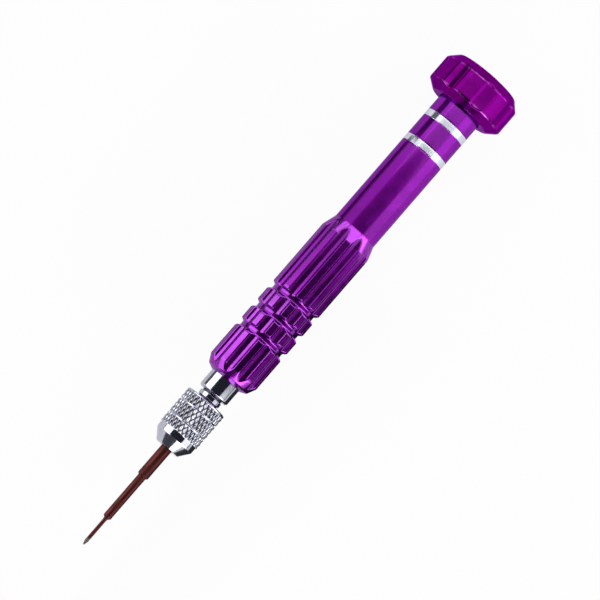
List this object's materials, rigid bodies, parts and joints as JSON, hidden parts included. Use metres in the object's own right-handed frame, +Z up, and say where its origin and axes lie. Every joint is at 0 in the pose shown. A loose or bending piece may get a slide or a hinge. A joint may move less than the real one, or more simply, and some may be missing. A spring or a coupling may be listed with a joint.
{
  "type": "pocket screwdriver",
  "caption": "Pen-sized precision screwdriver with a knurled collet chuck, a fluted hollow handle that stores bits, and a scalloped swivel cap.",
  "frame": {"origin": "on the surface that the tool lies on, under the middle of its length", "axes": "+X along the tool's axis from its tip to its cap, +Z up"},
  "size_m": [0.1258, 0.0182, 0.0182],
  "materials": {
    "purple_anodised": "glossy purple anodised",
    "chuck_plating": "polished nickel plating",
    "bright_trim": "bright turned aluminium",
    "bronze_steel": "dark bronze plated steel with a bare tip",
    "bit_steel": "dark steel",
    "collet_brass": "turned brass",
    "magazine_plastic": "moulded black plastic",
    "washer_plastic": "natural plastic",
    "pad_rubber": "soft rubber"
  },
  "bodies": {
    "handle": {"grip_handle": "purple_anodised", "chuck_body": "chuck_plating", "bit_magazine": "magazine_plastic", "spare_bit_slotted": "bit_steel", "spare_bit_cross": "bit_steel", "spare_bit_six_lobe": "bit_steel", "spare_bit_five_lobe": "bit_steel"},
    "collet": {"collet": "collet_brass"},
    "nut": {"chuck_nut": "chuck_plating"},
    "bit": {"driver_bit": "bronze_steel"},
    "pad": {"rattle_pad": "pad_rubber"},
    "washer": {"thrust_washer": "washer_plastic"},
    "tube": {"rear_tube": "purple_anodised", "front_trim_ring": "bright_trim", "rear_trim_ring": "bright_trim", "end_plug": "collet_brass", "cap_spindle": "bit_steel", "snap_ring": "bit_steel", "thrust_ball": "chuck_plating"},
    "cap": {"swivel_cap": "purple_anodised"}
  },
  "joints": [
    {"name": "collet_advance", "type": "slide", "parent": "handle", "child": "collet", "axis": [-1, 0, 0], "range_m": [0, 0.0015]},
    {"name": "nut_turn", "type": "hinge", "parent": "collet", "child": "nut", "pos_m": [-0.0289, 0, 0.0091], "axis": [-1, 0, 0], "range_deg": [0, 720]},
    {"name": "bit_pull", "type": "slide", "parent": "collet", "child": "bit", "axis": [-1, 0, 0], "range_m": [0, 0.02]},
    {"name": "tube_pull", "type": "slide", "parent": "handle", "child": "pad", "axis": [1, 0, 0], "range_m": [0, 0.03]},
    {"name": "tube_advance", "type": "slide", "parent": "pad", "child": "washer", "axis": [1, 0, 0], "range_m": [0, 0.0045]},
    {"name": "tube_turn", "type": "hinge", "parent": "washer", "child": "tube", "pos_m": [0.0421, 0, 0.0091], "axis": [1, 0, 0], "range_deg": [0, 2160]},
    {"name": "cap_swivel", "type": "hinge", "parent": "tube", "child": "cap", "pos_m": [0.0571, 0, 0.0091], "axis": [1, 0, 0], "continuous": true}
  ],
  "couplings": [
    {"joint": "nut_turn", "follows": "collet_advance", "rad_per_m": 8377.6},
    {"joint": "tube_turn", "follows": "tube_advance", "rad_per_m": 8377.6}
  ]
}
